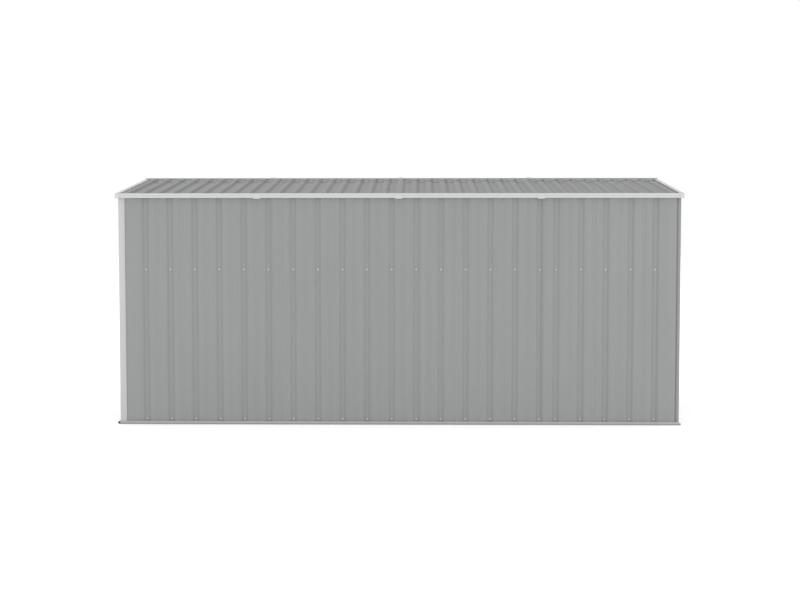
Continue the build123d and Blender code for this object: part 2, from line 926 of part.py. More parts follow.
def save_roof():
    for number, line in enumerate(roof_sheet_lines(), start=1):
        sheet = roof_sheet(line)
        save(f"near_roof_sheet_{number}", [sheet])
        save(f"far_roof_sheet_{number}", [far(sheet)])
    trims = eave_trims()
    save("eave_trims", trims + [far(trim) for trim in trims])
    verges = verge_trims()
    save("corner_caps", corner_caps())
    save("door_verge_trims", verges)
    save("back_verge_trims", [back(verge) for verge in verges])
    save("ridge_caps", ridge_caps())
    save("trim_joiners", eave_joiners() + ridge_joiners())


save_base()
save_walls()
save_frame()
save_door()
save_roof()
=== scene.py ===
import bmesh
import bpy
import json
import math
from mathutils import Matrix, Vector
from mathutils.bvhtree import BVHTree


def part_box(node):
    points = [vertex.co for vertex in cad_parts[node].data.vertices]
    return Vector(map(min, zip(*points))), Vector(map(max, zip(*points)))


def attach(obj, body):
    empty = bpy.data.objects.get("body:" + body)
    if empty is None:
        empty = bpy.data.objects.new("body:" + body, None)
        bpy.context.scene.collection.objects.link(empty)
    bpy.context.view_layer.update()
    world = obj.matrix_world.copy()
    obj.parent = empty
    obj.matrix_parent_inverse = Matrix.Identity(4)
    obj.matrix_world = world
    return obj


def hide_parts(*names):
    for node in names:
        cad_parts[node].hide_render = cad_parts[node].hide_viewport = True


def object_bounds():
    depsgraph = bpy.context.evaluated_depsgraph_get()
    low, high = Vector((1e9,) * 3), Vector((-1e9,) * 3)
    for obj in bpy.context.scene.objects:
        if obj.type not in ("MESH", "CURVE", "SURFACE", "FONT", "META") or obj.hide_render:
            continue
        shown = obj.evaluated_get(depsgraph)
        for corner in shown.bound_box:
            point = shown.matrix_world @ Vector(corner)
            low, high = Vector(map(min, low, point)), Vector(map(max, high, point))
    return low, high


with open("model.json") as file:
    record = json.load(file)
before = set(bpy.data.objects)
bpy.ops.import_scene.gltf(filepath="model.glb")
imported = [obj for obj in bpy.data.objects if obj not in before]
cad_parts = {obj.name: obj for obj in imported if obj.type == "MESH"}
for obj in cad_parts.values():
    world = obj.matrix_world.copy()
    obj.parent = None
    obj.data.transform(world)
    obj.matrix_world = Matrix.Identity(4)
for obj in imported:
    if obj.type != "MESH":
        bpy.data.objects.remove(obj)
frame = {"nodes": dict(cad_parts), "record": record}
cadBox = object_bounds()
nodes = frame["nodes"]
print("frame loaded,", len(nodes), "nodes")


# Small helpers for node trees and meshes

def addNode(tree, kind, inputs=None, **settings):
    node = tree.nodes.new(kind)
    for key, value in settings.items():
        setattr(node, key, value)
    for key, value in (inputs or {}).items():
        if isinstance(value, bpy.types.NodeSocket):
            tree.links.new(value, node.inputs[key])
        else:
            node.inputs[key].default_value = value
    return node


def tidyTree(tree):
    # Columns from left to right, by how many links each node is from the inputs
    depth = {}

    def depthOf(node):
        if node not in depth:
            depth[node] = 0
            before = [link.from_node for socket in node.inputs for link in socket.links]
            depth[node] = 1 + max((depthOf(other) for other in before), default=-1)
        return depth[node]

    rows = {}
    for node in tree.nodes:
        column = depthOf(node)
        rows[column] = rows.get(column, 0) + 1
        node.location = (column * 220, -rows[column] * 260)


def math2(tree, operation, first, second=0.0):
    return addNode(tree, "ShaderNodeMath", {0: first, 1: second}, operation=operation).outputs[0]


def product(tree, first, second):
    return math2(tree, "MULTIPLY", first, second)


def total(tree, first, second):
    return math2(tree, "ADD", first, second)


def difference(tree, first, second):
    return math2(tree, "SUBTRACT", first, second)


def partsOf(tree, vector):
    return addNode(tree, "ShaderNodeSeparateXYZ", {0: vector}).outputs


def noise(tree, vector, scale, detail):
    inputs = {"Vector": vector, "Scale": scale, "Detail": detail}
    return addNode(tree, "ShaderNodeTexNoise", inputs).outputs[0]


def stepBetween(tree, value, low, high):
    # 0 below low, 1 above high, smooth between. A low above the high turns it round.
    node = addNode(tree, "ShaderNodeMapRange", {"Value": value, "From Min": low, "From Max": high},
                   interpolation_type="SMOOTHSTEP")
    return node.outputs["Result"]


def newGroup(name, inputs, outputs):
    group = bpy.data.node_groups.new(name, "ShaderNodeTree")
    for label, kind, value in inputs:
        socket = group.interface.new_socket(label, in_out="INPUT", socket_type="NodeSocket" + kind)
        socket.default_value = value
    for label, kind in outputs:
        group.interface.new_socket(label, in_out="OUTPUT", socket_type="NodeSocket" + kind)
    start = group.nodes.new("NodeGroupInput")
    end = group.nodes.new("NodeGroupOutput")
    return group, start.outputs, end.inputs


def useGroup(tree, group, inputs):
    return addNode(tree, "ShaderNodeGroup", inputs, node_tree=group).outputs


def linkObject(name, mesh):
    obj = bpy.data.objects.new(name, mesh)
    bpy.context.scene.collection.objects.link(obj)
    return obj


# Shared effects, each a shader group

def makeRolledPaint():
    # Paint on rolled sheet: fine streaks along the roll, and broad soft patches
    group, given, out = newGroup(
        "rolledPaint",
        [("Vector", "Vector", (0, 0, 0)), ("Colour", "Color", (0.5, 0.5, 0.5, 1)),
         ("Grain Scale", "Vector", (60, 60, 1.5)), ("Streaks", "Float", 0.03),
         ("Patches", "Float", 0.03), ("Patch Scale", "Float", 1.2)],
        [("Colour", "Color"), ("Grain", "Float")])
    stretched = addNode(group, "ShaderNodeVectorMath", {0: given["Vector"], 1: given["Grain Scale"]},
                        operation="MULTIPLY")
    grain = noise(group, stretched.outputs[0], scale=1.0, detail=3.0)
    patch = noise(group, given["Vector"], given["Patch Scale"], detail=2.0)
    meanNoise = 0.5
    grainPart = product(group, difference(group, grain, meanNoise), given["Streaks"])
    patchPart = product(group, difference(group, patch, meanNoise), given["Patches"])
    factor = total(group, total(group, grainPart, patchPart), 1.0)
    shaded = addNode(group, "ShaderNodeVectorMath", {0: given["Colour"], "Scale": factor},
                     operation="SCALE")
    group.links.new(shaded.outputs[0], out["Colour"])
    group.links.new(grain, out["Grain"])
    tidyTree(group)
    return group


def makeOrangePeel():
    # Height of sprayed paint: a fine dimple with a slower swell under it
    group, given, out = newGroup(
        "orangePeel",
        [("Vector", "Vector", (0, 0, 0)), ("Dimple Scale", "Float", 500)],
        [("Height", "Float")])
    swell = {"scaleShare": 0.03, "height": 2.0}  # against the dimple's
    swellScale = product(group, given["Dimple Scale"], swell["scaleShare"])
    fine = noise(group, given["Vector"], given["Dimple Scale"], detail=1.0)
    slow = noise(group, given["Vector"], swellScale, detail=1.0)
    height = total(group, fine, product(group, slow, swell["height"]))
    group.links.new(height, out["Height"])
    tidyTree(group)
    return group


def makeFoldWear():
    # Rounded normals at folds and cut edges, and a mask of paint rubbed lighter along them
    group, given, out = newGroup(
        "foldWear",
        [("Vector", "Vector", (0, 0, 0)), ("Radius", "Float", 0.0015), ("Wear Scale", "Float", 40)],
        [("Mask", "Float"), ("Normal", "Vector")])
    bevel = addNode(group, "ShaderNodeBevel", {"Radius": given["Radius"]}, samples=4)
    faceNormal = addNode(group, "ShaderNodeNewGeometry").outputs["True Normal"]
    cosine = addNode(group, "ShaderNodeVectorMath", {0: bevel.outputs[0], 1: faceNormal},
                     operation="DOT_PRODUCT")
    cosineOf = {"flat": 0.97, "fold": 0.8}
    wornFrom = {"low": 0.45, "high": 0.65}
    edge = stepBetween(group, cosine.outputs["Value"], cosineOf["flat"], cosineOf["fold"])
    patchy = noise(group, given["Vector"], given["Wear Scale"], detail=4.0)
    worn = stepBetween(group, patchy, wornFrom["low"], wornFrom["high"])
    group.links.new(product(group, edge, worn), out["Mask"])
    group.links.new(bevel.outputs[0], out["Normal"])
    tidyTree(group)
    return group


def makeFootDirtAndShade():
    # Darker towards the ground, thinning out upwards with a ragged top: splashed dust, and on the walls and
    # posts painted shade near the ground
    group, given, out = newGroup(
        "footDirtAndShade", [("Vector", "Vector", (0, 0, 0)), ("Height", "Float", 0.3)], [("Mask", "Float")])
    parts = partsOf(group, given["Vector"])
    raggedScale = 14.0
    highest = 1.5  # top of the ragged edge, in heights
    ragged = noise(group, given["Vector"], raggedScale, detail=4.0)
    level = total(group, parts["Z"], product(group, ragged, given["Height"]))
    top = product(group, given["Height"], highest)
    group.links.new(difference(group, 1.0, stepBetween(group, level, 0.0, top)), out["Mask"])
    tidyTree(group)
    return group


def makeGrooveShade():
    # Painted shade in the walls' grooves, by depth under the outer faces: masks of floors and flanks
    group, given, out = newGroup(
        "grooveShade",
        [("Vector", "Vector", (0, 0, 0)), ("Face X", "Float", 2.0), ("Face Y", "Float", 1.0),
         ("Depth", "Float", 0.01)],
        [("Floor", "Float"), ("Flank", "Float")])
    parts = partsOf(group, given["Vector"])
    awayX = math2(group, "ABSOLUTE", parts["X"])
    awayY = math2(group, "ABSOLUTE", parts["Y"])
    depth = math2(group, "MINIMUM", difference(group, given["Face X"], awayX),
                  difference(group, given["Face Y"], awayY))
    share = math2(group, "DIVIDE", depth, given["Depth"])
    floorFrom = {"low": 0.75, "high": 0.98}  # shares of the groove's depth
    hollowFrom = {"low": 0.1, "high": 0.45}
    isFloor = stepBetween(group, share, floorFrom["low"], floorFrom["high"])
    isHollow = stepBetween(group, share, hollowFrom["low"], hollowFrom["high"])
    group.links.new(isFloor, out["Floor"])
    group.links.new(difference(group, isHollow, isFloor), out["Flank"])
    tidyTree(group)
    return group


def makeRibShadeBands():
    # Painted shade: dark bands along the flanks of the roof's ribs and the valley floor beside them, as if
    # the roof were lit from -X. The shadow side is the one towards +X; the light side, towards -X, gets a
    # fainter band.
    group, given, out = newGroup(
        "ribShadeBands",
        [("Vector", "Vector", (0, 0, 0)), ("Pitch", "Float", 0.1), ("Shadow Side Place", "Float", 0.031),
         ("Shadow Side Reach", "Float", 0.02), ("Light Side Place", "Float", 0.026),
         ("Light Side Reach", "Float", 0.014), ("Top", "Float", 1.8), ("Fall", "Float", 0.14)],
        [("Shadow Side", "Float"), ("Light Side", "Float")])
    parts = partsOf(group, given["Vector"])
    half = product(group, given["Pitch"], 0.5)
    lowest = product(group, half, -1.0)
    fromCrown = addNode(group, "ShaderNodeMath", {0: parts["X"], 1: half, 2: lowest},
                        operation="WRAP").outputs[0]
    fallen = product(group, math2(group, "ABSOLUTE", parts["Y"]), given["Fall"])
    over = difference(group, total(group, parts["Z"], fallen), given["Top"])
    sheetEnds = {"from": 0.0005, "to": 0.0015}  # heights over the crowns, where the bands fade out
    fullShare = 0.25                            # of the reach, on either side of a band's middle
    onSheet = stepBetween(group, over, sheetEnds["to"], sheetEnds["from"])
    for name, side in (("Shadow Side", 1.0), ("Light Side", -1.0)):
        place = product(group, given[name + " Place"], side)
        reach = given[name + " Reach"]
        away = math2(group, "ABSOLUTE", difference(group, fromCrown, place))
        near = stepBetween(group, away, reach, product(group, reach, fullShare))
        group.links.new(product(group, near, onSheet), out[name])
    tidyTree(group)
    return group


rolledPaint = makeRolledPaint()
orangePeel = makeOrangePeel()
foldWear = makeFoldWear()
footDirtAndShade = makeFootDirtAndShade()
grooveShade = makeGrooveShade()
ribShadeBands = makeRibShadeBands()
print("shader groups made")


# Materials

def startMaterial(name, look):
    material = bpy.data.materials.new(name)
    material.use_nodes = True
    tree = material.node_tree
    shader = tree.nodes["Principled BSDF"]
    shader.inputs["Roughness"].default_value = look["roughness"]
    shader.inputs["Metallic"].default_value = look.get("metallic", 0.0)
    shader.inputs["Specular IOR Level"].default_value = look.get("specular", 0.5)
    place = addNode(tree, "ShaderNodeTexCoord").outputs["Object"]
    return material, tree, shader, place


def mixColour(tree, amount, first, second):
    node = addNode(tree, "ShaderNodeMix", {0: amount, 6: first, 7: second}, data_type="RGBA")
    return node.outputs[2]


def addBump(tree, height, distance, normal=None):
    inputs = {"Height": height, "Distance": distance, "Strength": 1.0}
    if normal is not None:
        inputs["Normal"] = normal
    return addNode(tree, "ShaderNodeBump", inputs).outputs[0]


def layOver(tree, under, mask, amount, colour):
    # A colour over another, where the mask is and as much as the amount
    return mixColour(tree, product(tree, mask, amount), under, colour)


def lineMask(tree, place, axis, where, width):
    # Narrow soft line across one axis, such as the crease pressed in over the base rail
    fullShare = 0.4
    away = math2(tree, "ABSOLUTE", difference(tree, partsOf(tree, place)[axis], where))
    return stepBetween(tree, away, width, width * fullShare)


def roughnessBy(tree, grain, look):
    # The look's roughness, more on the grain's highs and less in its lows
    lowest = look["roughness"] - look["roughSpread"] / 2
    return total(tree, product(tree, grain, look["roughSpread"]), lowest)


def shadeInGrooves(tree, place, look):
    # Painted shade on the groove floors and flanks, and a painted shadow line beside a sheet lap
    hollow = useGroup(tree, grooveShade, {"Vector": place, **look["groove"]})
    # Painted shadow line in the groove flank beside the next sheet's lapped edge
    line = lineMask(tree, place, "X", look["lapPlace"], look["lapWidth"])
    shadeAndDust = total(tree, product(tree, hollow["Floor"], look["grooveFloorShade"]),
                 product(tree, hollow["Flank"], look["grooveFlankShade"]))
    return total(tree, shadeAndDust, product(tree, line, look["lapShadow"]))


def shadeByRibs(tree, place, look):
    # Painted shade on the rib flanks: strong on the shadow side, faint on the light side
    bands = useGroup(tree, ribShadeBands, {"Vector": place, **look["rib"]})
    return total(tree, product(tree, bands["Shadow Side"], look["shadowSideShade"]),
                 product(tree, bands["Light Side"], look["lightSideShade"]))


def paintedSheet(name, look):
    # Ribbed sheet: painted shade in the grooves, with a painted shadow line at a lap, or along the ribs'
    # flanks, a foot darkened by splashed dust and painted shade, and streaks along the roll
    material, tree, shader, place = startMaterial(name, look)
    paint = useGroup(tree, rolledPaint, {"Vector": place, "Colour": look["colour"],
                                         "Grain Scale": look["grainScale"], "Streaks": look["streaks"],
                                         "Patches": look["patches"]})
    shadeAndDust = shadeByRibs(tree, place, look) if "rib" in look else shadeInGrooves(tree, place, look)
    shadedPaint = mixColour(tree, shadeAndDust, paint["Colour"], look["shadeAndDustColour"])
    footSoilAndShade = useGroup(tree, footDirtAndShade, {"Vector": place, "Height": look["footSoilAndShadeHeight"]})
    soiledAndShaded = layOver(tree, shadedPaint, footSoilAndShade["Mask"], look["footSoilAndShade"], look["shadeAndDustColour"])
    height = useGroup(tree, orangePeel, {"Vector": place, "Dimple Scale": look["dimpleScale"]})["Height"]
    if "creaseHeight" in look:
        # Painted shade line in the crease over the base rail, with the crease's bump
        crease = lineMask(tree, place, "Z", look["creaseHeight"], look["creaseWidth"])
        soiledAndShaded = layOver(tree, soiledAndShaded, crease, look["sheetCreaseShade"], look["shadeAndDustColour"])
        height = difference(tree, height, product(tree, crease, look["creaseDepth"]))
    tree.links.new(soiledAndShaded, shader.inputs["Base Color"])
    tree.links.new(roughnessBy(tree, paint["Grain"], look), shader.inputs["Roughness"])
    tree.links.new(addBump(tree, height, look["dimpleHeight"]), shader.inputs["Normal"])
    tidyTree(tree)
    return material


trimGrain = {"scale": (30, 30, 30), "dimpleScale": 500.0, "dimpleHeight": 0.00004}


def paintedTrim(name, look):
    # Folded trim: soft patches in the paint, rounded folds that are rubbed paler, darker near the ground
    # from dust and painted shade, and painted shade along a crease or a lip where the look gives one
    material, tree, shader, place = startMaterial(name, look)
    paint = useGroup(tree, rolledPaint, {"Vector": place, "Colour": look["colour"],
                                         "Grain Scale": trimGrain["scale"], "Streaks": look["streaks"],
                                         "Patches": look["patches"]})
    folds = useGroup(tree, foldWear, {"Vector": place, "Radius": look["foldRadius"]})
    worn = layOver(tree, paint["Colour"], folds["Mask"], look["wear"], look["wornColour"])
    # Darker towards the ground: dust, and on the door corner posts painted shade
    footSoilAndShade = useGroup(tree, footDirtAndShade, {"Vector": place, "Height": look["footSoilAndShadeHeight"]})
    soiledAndShaded = layOver(tree, worn, footSoilAndShade["Mask"], look["footSoilAndShade"], look["shadeAndDustColour"])
    if "creaseHeight" in look:
        # Painted shade line along a pressed crease
        crease = lineMask(tree, place, "Z", look["creaseHeight"], look["creaseWidth"])
        soiledAndShaded = layOver(tree, soiledAndShaded, crease, look["trimCreaseShade"], look["shadeAndDustColour"])
    if "lipTop" in look:
        # Painted shade on the low lip, darker than the lit slope above it
        lip = stepBetween(tree, partsOf(tree, place)["Z"], look["lipTop"], look["lipTop"] * look["lipFull"])
        soiledAndShaded = layOver(tree, soiledAndShaded, lip, look["lipShade"], look["shadeAndDustColour"])
    dimples = useGroup(tree, orangePeel, {"Vector": place, "Dimple Scale": trimGrain["dimpleScale"]})
    normal = addBump(tree, dimples["Height"], trimGrain["dimpleHeight"], folds["Normal"])
    tree.links.new(soiledAndShaded, shader.inputs["Base Color"])
    tree.links.new(roughnessBy(tree, paint["Grain"], look), shader.inputs["Roughness"])
    tree.links.new(normal, shader.inputs["Normal"])
    tidyTree(tree)
    return material


wallLook = {
    "colour": (0.233, 0.2405, 0.2365, 1), "shadeAndDustColour": (0.130, 0.129, 0.125, 1),
    "roughness": 0.48, "roughSpread": 0.10, "specular": 0.3,
    "grainScale": (55, 55, 0.8), "streaks": 0.10, "patches": 0.06,
    "dimpleScale": 420.0, "dimpleHeight": 0.00004,
    # the groove floor and flank amounts are painted shade
    "groove": {"Face X": 1.9825, "Face Y": 0.9935, "Depth": 0.010}, "grooveFloorShade": 0.02, "grooveFlankShade": 0.15,
    # a painted shadow line beside the lap
    "lapPlace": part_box("near_wall_sheet_4")[0].x - 0.0185, "lapWidth": 0.005, "lapShadow": 0.35,
    # darker towards the foot: splashed dust and painted shade
    "footSoilAndShadeHeight": 0.12, "footSoilAndShade": 0.04,
    # a painted shade line in the crease over the base rail
    "creaseHeight": 0.0290, "creaseWidth": 0.005, "sheetCreaseShade": 0.18, "creaseDepth": 6.0,
}
ribs = {"pitch": 0.1075, "outermost": 18}
roofLook = {
    "colour": (0.255, 0.262, 0.258, 1), "shadeAndDustColour": (0.10, 0.099, 0.095, 1),
    "roughness": 0.55, "roughSpread": 0.10, "specular": 0.2,
    "grainScale": (55, 1.2, 1.2), "streaks": 0.12, "patches": 0.10,
    "dimpleScale": 420.0, "dimpleHeight": 0.00004,
    # the rib bands are painted shade, as if the roof were lit from -X
    "rib": {"Pitch": ribs["pitch"], "Shadow Side Place": 0.0255, "Shadow Side Reach": 0.0200, "Light Side Place": 0.0255,
            "Light Side Reach": 0.0140, "Top": 1.7803, "Fall": 0.14146},
    "shadowSideShade": 0.40, "lightSideShade": 0.02,
    "footSoilAndShadeHeight": 0.05, "footSoilAndShade": 0.0,
}
# Ridge caps: a lighter copy of the roof paint, painted light against the shade under the ridge roll; the
# rib bands stay painted shade
ridgeLightenedLook = {**roofLook, "colour": (0.325, 0.332, 0.328, 1), "rib": {**roofLook["rib"], "Top": 1.7830}}
paleLook = {
    "colour": (0.482, 0.490, 0.487, 1), "wornColour": (0.58, 0.58, 0.575, 1),
    "shadeAndDustColour": (0.30, 0.295, 0.285, 1), "roughness": 0.38, "roughSpread": 0.12, "specular": 0.5,
    "streaks": 0.03, "patches": 0.05,
    "foldRadius": 0.0014, "wear": 0.5, "footSoilAndShadeHeight": 0.16, "footSoilAndShade": 0.45,
}
# Eave trims: a painted shade line in their crease
eaveLook = {**paleLook, "creaseHeight": 1.6225, "creaseWidth": 0.005, "trimCreaseShade": 0.16}
# Verge trims: a lighter copy of the pale paint, painted light on their upward faces
vergeLitLook = {**paleLook, "colour": (0.525, 0.533, 0.530, 1)}
# Door corner posts: a darker copy of the pale paint, painted shade, with heavier painted shade towards
# their foot
postShadedLook = {**paleLook, "colour": (0.400, 0.405, 0.402, 1), "footSoilAndShadeHeight": 0.30, "footSoilAndShade": 0.15}
greyLook = {
    "colour": (0.228, 0.235, 0.232, 1), "wornColour": (0.34, 0.34, 0.335, 1),
    "shadeAndDustColour": (0.15, 0.148, 0.143, 1), "roughness": 0.48, "roughSpread": 0.12, "specular": 0.3,
    "streaks": 0.04, "patches": 0.08,
    "foldRadius": 0.0014, "wear": 0.4, "footSoilAndShadeHeight": 0.12, "footSoilAndShade": 0.3,
}
baseLook = {
    "colour": (0.415, 0.421, 0.418, 1), "wornColour": (0.50, 0.50, 0.495, 1),
    "shadeAndDustColour": (0.20, 0.197, 0.19, 1), "roughness": 0.5, "roughSpread": 0.12, "specular": 0.3,
    "streaks": 0.06, "patches": 0.12,
    "foldRadius": 0.0014, "wear": 0.6, "footSoilAndShadeHeight": 0.02, "footSoilAndShade": 0.1,
    # painted shade on the rail's lower lip
    "lipTop": 0.0135, "lipFull": 0.8, "lipShade": 0.80,
}
wallPaint = paintedSheet("wallPaint", wallLook)
roofPaint = paintedSheet("roofPaint", roofLook)
ridgeLightenedPaint = paintedSheet("ridgeLightenedPaint", ridgeLightenedLook)
palePaint = paintedTrim("palePaint", paleLook)
eavePaint = paintedTrim("eavePaint", eaveLook)
vergeLitPaint = paintedTrim("vergeLitPaint", vergeLitLook)
postShadedPaint = paintedTrim("postShadedPaint", postShadedLook)
greyPaint = paintedTrim("greyPaint", greyLook)
basePaint = paintedTrim("basePaint", baseLook)


def makeLeafPaint():
    # Door leaf: grey panel in a pale frame, told apart by place
    low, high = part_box("near_door_leaf")
    look = {
        **wallLook, "roughness": 0.46, "footSoilAndShade": 0.35,
        "frameColour": paleLook["colour"], "frameWidth": 0.040, "frameMargin": 0.0002,
        "frameStreaks": 0.03, "framePatches": 0.05, "wornColour": (0.66, 0.66, 0.65, 1), "wear": 0.4,
    }
    material, tree, shader, place = startMaterial("leafPaint", look)
    parts = partsOf(tree, place)
    across = math2(tree, "ABSOLUTE", parts["Y"])
    widths = [difference(tree, across, -high.y), difference(tree, -low.y, across),
              difference(tree, parts["Z"], low.z), difference(tree, high.z, parts["Z"])]
    nearest = widths[0]
    for width in widths[1:]:
        nearest = math2(tree, "MINIMUM", nearest, width)
    isFrame = math2(tree, "LESS_THAN", nearest, look["frameWidth"] + look["frameMargin"])
    panel = useGroup(tree, rolledPaint, {"Vector": place, "Colour": look["colour"],
                                         "Grain Scale": look["grainScale"], "Streaks": look["streaks"],
                                         "Patches": look["patches"]})
    rim = useGroup(tree, rolledPaint, {"Vector": place, "Colour": look["frameColour"],
                                       "Grain Scale": trimGrain["scale"], "Streaks": look["frameStreaks"],
                                       "Patches": look["framePatches"]})
    folds = useGroup(tree, foldWear, {"Vector": place})
    painted = mixColour(tree, isFrame, panel["Colour"], rim["Colour"])
    worn = layOver(tree, painted, folds["Mask"], look["wear"], look["wornColour"])
    footSoilAndShade = useGroup(tree, footDirtAndShade, {"Vector": place, "Height": look["footSoilAndShadeHeight"]})
    soiledAndShaded = layOver(tree, worn, footSoilAndShade["Mask"], look["footSoilAndShade"], look["shadeAndDustColour"])
    height = useGroup(tree, orangePeel, {"Vector": place, "Dimple Scale": look["dimpleScale"]})["Height"]
    tree.links.new(soiledAndShaded, shader.inputs["Base Color"])
    tree.links.new(addBump(tree, height, look["dimpleHeight"], folds["Normal"]), shader.inputs["Normal"])
    tidyTree(tree)
    return material


def makeBlackMoulding():
    # Moulded black plastic with a fine spark-eroded grain
    look = {
        "colour": (0.018, 0.018, 0.019, 1), "scuffed": (0.07, 0.07, 0.07, 1), "scuff": 0.5,
        "foldRadius": 0.002, "wearScale": 90.0, "roughness": 0.42, "grainRough": 0.15,
        "grainScale": 1400.0, "grainHeight": 0.00003, "grainFrom": 0.2, "grainTo": 0.9,
    }
    material, tree, shader, place = startMaterial("blackMoulding", look)
    folds = useGroup(tree, foldWear, {"Vector": place, "Radius": look["foldRadius"],
                                      "Wear Scale": look["wearScale"]})
    colour = layOver(tree, look["colour"], folds["Mask"], look["scuff"], look["scuffed"])
    grain = noise(tree, place, look["grainScale"], detail=2.0)
    raised = stepBetween(tree, grain, look["grainFrom"], look["grainTo"])
    rough = total(tree, product(tree, raised, look["grainRough"]), look["roughness"])
    tree.links.new(colour, shader.inputs["Base Color"])
    tree.links.new(rough, shader.inputs["Roughness"])
    tree.links.new(addBump(tree, grain, look["grainHeight"], folds["Normal"]), shader.inputs["Normal"])
    tidyTree(tree)
    return material


zincCoat = {"foldColour": (0.75, 0.76, 0.77, 1), "foldAmount": 0.4, "crystalRough": 0.2}


def makeZincCoat(name, look):
    # Hot-dip zinc: crystals of slightly different greys, brighter at the folds
    material, tree, shader, place = startMaterial(name, look)
    crystal = addNode(tree, "ShaderNodeTexVoronoi", {"Vector": place, "Scale": look["crystalScale"]})
    shade = addNode(tree, "ShaderNodeSeparateColor", {0: crystal.outputs["Color"]}).outputs[0]
    folds = useGroup(tree, foldWear, {"Vector": place})
    tone = mixColour(tree, shade, look["darkCrystal"], look["brightCrystal"])
    colour = layOver(tree, tone, folds["Mask"], zincCoat["foldAmount"], zincCoat["foldColour"])
    rough = total(tree, product(tree, shade, zincCoat["crystalRough"]), look["roughness"])
    tree.links.new(colour, shader.inputs["Base Color"])
    tree.links.new(rough, shader.inputs["Roughness"])
    tree.links.new(folds["Normal"], shader.inputs["Normal"])
    tidyTree(tree)
    return material


def makeSealRubber():
    # Black rubber with a pale bloom in spots
    look = {"colour": (0.03, 0.03, 0.032, 1), "bloomColour": (0.09, 0.09, 0.088, 1), "roughness": 0.7,
            "bloomScale": 300.0, "bloomFrom": 0.5, "bloomTo": 0.8}
    material, tree, shader, place = startMaterial("sealRubber", look)
    cloud = noise(tree, place, look["bloomScale"], detail=3.0)
    bloom = stepBetween(tree, cloud, look["bloomFrom"], look["bloomTo"])
    colour = mixColour(tree, bloom, look["colour"], look["bloomColour"])
    tree.links.new(colour, shader.inputs["Base Color"])
    tidyTree(tree)
    return material


leafPaint = makeLeafPaint()
blackMoulding = makeBlackMoulding()
frameZinc = makeZincCoat("frameZinc", {
    "roughness": 0.35, "metallic": 0.7, "crystalScale": 70.0,
    "darkCrystal": (0.42, 0.43, 0.44, 1), "brightCrystal": (0.60, 0.61, 0.62, 1)})
screwZinc = makeZincCoat("screwZinc", {
    "roughness": 0.35, "metallic": 0.3, "crystalScale": 900.0,
    "darkCrystal": (0.36, 0.37, 0.37, 1), "brightCrystal": (0.50, 0.50, 0.50, 1)})
sealRubber = makeSealRubber()
slotMaterials = {
    "wall_sheet": wallPaint, "roof_sheet": roofPaint, "pale_trim": palePaint, "grey_trim": greyPaint,
    "base_rail": basePaint, "door_leaf": leafPaint, "black_plastic": blackMoulding,
    "inner_frame": frameZinc,
}
slotOfNode = {part["node"]: part["material_slot"] for part in frame["record"]["subparts"]}
# The ridge, post and verge paints are lighter or darker copies of one paint: painted light and shade
ownMaterials = {"ridge_caps": ridgeLightenedPaint, "door_corner_posts": postShadedPaint, "eave_trims": eavePaint,
                "door_verge_trims": vergeLitPaint, "back_verge_trims": vergeLitPaint}


def materialOf(nodeName):
    return ownMaterials.get(nodeName, slotMaterials[slotOfNode[nodeName]])


for name, node in nodes.items():
    for materialSlot in node.material_slots:
        materialSlot.material = materialOf(name)
print("materials made and placed on the frame's nodes")


# Running a Geometry Nodes tree and keeping its result as a plain mesh

def newTree(name, inputs):
    tree = bpy.data.node_groups.new(name, "GeometryNodeTree")
    tree.interface.new_socket("Geometry", in_out="INPUT", socket_type="NodeSocketGeometry")
    for label, kind, value in inputs:
        socket = tree.interface.new_socket(label, in_out="INPUT", socket_type="NodeSocket" + kind)
        if value is not None:
            socket.default_value = value
    tree.interface.new_socket("Geometry", in_out="OUTPUT", socket_type="NodeSocketGeometry")
    start = tree.nodes.new("NodeGroupInput")
    end = tree.nodes.new("NodeGroupOutput")
    return tree, start.outputs, end.inputs


def growMesh(obj, tree, values):
    modifier = obj.modifiers.new(tree.name, "NODES")
    modifier.node_group = tree
    for item in tree.interface.items_tree:
        if item.item_type == "SOCKET" and item.in_out == "INPUT" and item.name in values:
            modifier[item.identifier] = values[item.name]
    depsgraph = bpy.context.evaluated_depsgraph_get()
    mesh = bpy.data.meshes.new_from_object(obj.evaluated_get(depsgraph), depsgraph=depsgraph)
    obj.modifiers.remove(modifier)
    oldMesh = obj.data
    obj.data = mesh
    bpy.data.meshes.remove(oldMesh)
    return obj


def finishPiece(obj):
    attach(obj, "root")


# Folded sheet: a section whose corners are rounded to the bend of real sheet, run to its length

samePlace = 0.00001  # corners closer than this are one


